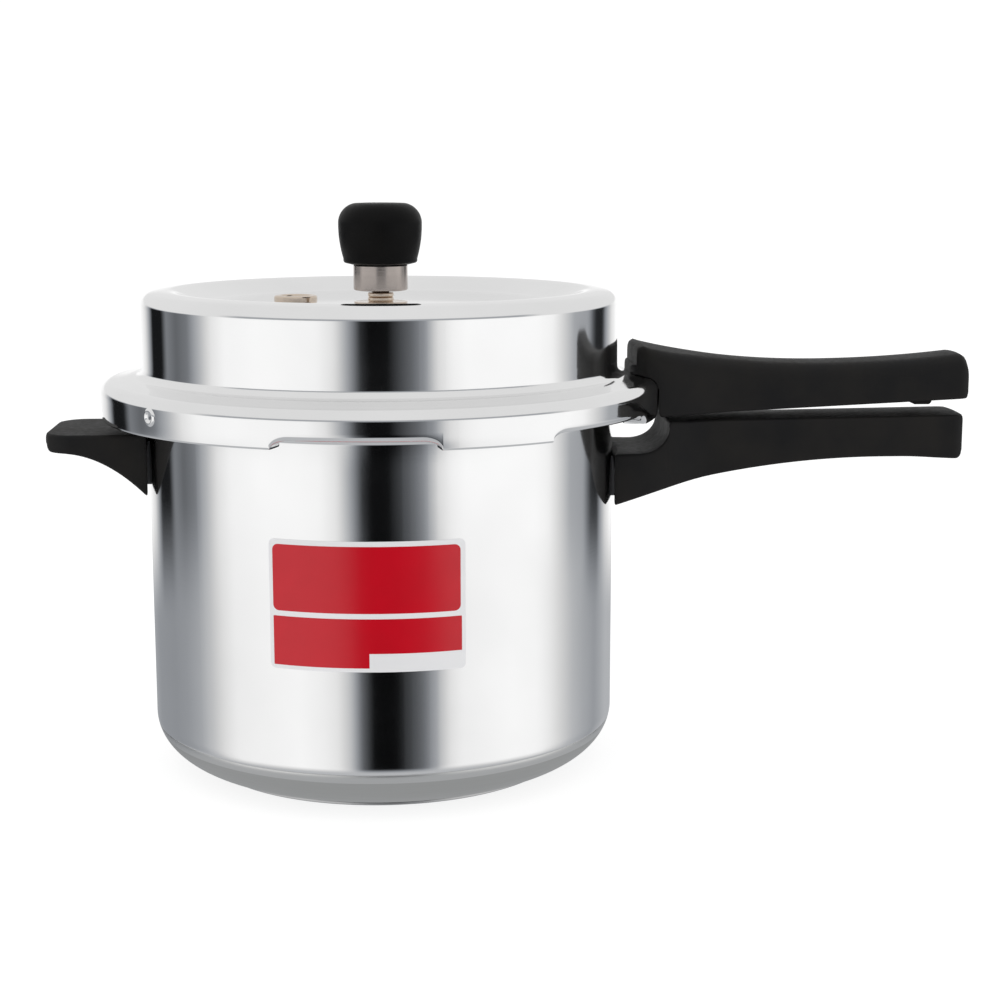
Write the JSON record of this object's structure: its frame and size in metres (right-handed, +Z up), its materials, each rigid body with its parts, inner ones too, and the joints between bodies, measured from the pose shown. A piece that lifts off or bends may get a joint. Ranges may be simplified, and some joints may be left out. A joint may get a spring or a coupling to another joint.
{
  "type": "stovetop pressure cooker",
  "caption": "Stovetop aluminium pressure cooker with an outer bayonet lid, a weight on a steam vent, long paired handles and a short helper handle.",
  "frame": {"origin": "centre of the underside, on the pot's axis", "axes": "+Z up along the pot's axis, +X along the long handles, -Y towards the label"},
  "size_m": [0.4291, 0.258, 0.2606],
  "materials": {
    "polished_aluminium": "bright polished, turned satin below the round corner",
    "base_steel": "fine turned",
    "label_print": "red and white printed film",
    "bracket_steel": "plain rolled",
    "black_phenolic": "fine-grained satin",
    "screw_steel": "zinc bright",
    "rivet_aluminium": "plain",
    "gasket_rubber": "matte",
    "nickel_brass": "nickel plated",
    "fuse_alloy": "dull cast",
    "red_silicone": "matte",
    "weight_steel": "fine turned"
  },
  "bodies": {
    "pot": {"pot_body": "polished_aluminium", "base_plate": "base_steel", "front_label": "label_print", "pot_bracket": "bracket_steel", "pot_handle": "black_phenolic", "pot_handle_screws": "screw_steel", "helper_bracket": "bracket_steel", "helper_handle": "black_phenolic", "helper_screws": "screw_steel", "bracket_rivets": "rivet_aluminium"},
    "seal": {"gasket": "gasket_rubber"},
    "lid": {"lid_shell": "polished_aluminium", "lid_bracket": "bracket_steel", "lid_rivets": "rivet_aluminium", "lid_handle": "black_phenolic", "lid_handle_screws": "screw_steel", "vent_tube": "nickel_brass", "vent_seat": "nickel_brass", "vent_washer": "rivet_aluminium", "vent_nut": "nickel_brass", "safety_plug": "nickel_brass", "safety_fuse": "fuse_alloy", "safety_washer": "red_silicone", "safety_nut": "nickel_brass"},
    "clip": {"weight_clip": "screw_steel"},
    "weight": {"weight_body": "weight_steel", "weight_needle": "nickel_brass", "weight_knob": "black_phenolic", "weight_stud": "screw_steel"}
  },
  "joints": [
    {"name": "lid_lift", "type": "slide", "parent": "pot", "child": "seal", "axis": [0, 0, 1], "range_m": [0, 0.12]},
    {"name": "lid_turn", "type": "hinge", "parent": "seal", "child": "lid", "pos_m": [0, 0, 0.175], "axis": [0, 0, 1], "range_deg": [0, 27.5]},
    {"name": "weight_lift", "type": "slide", "parent": "lid", "child": "clip", "axis": [0, 0, 1], "range_m": [0, 0.03]},
    {"name": "weight_spin", "type": "hinge", "parent": "clip", "child": "weight", "pos_m": [0, 0, 0.225], "axis": [0, 0, 1], "continuous": true}
  ]
}
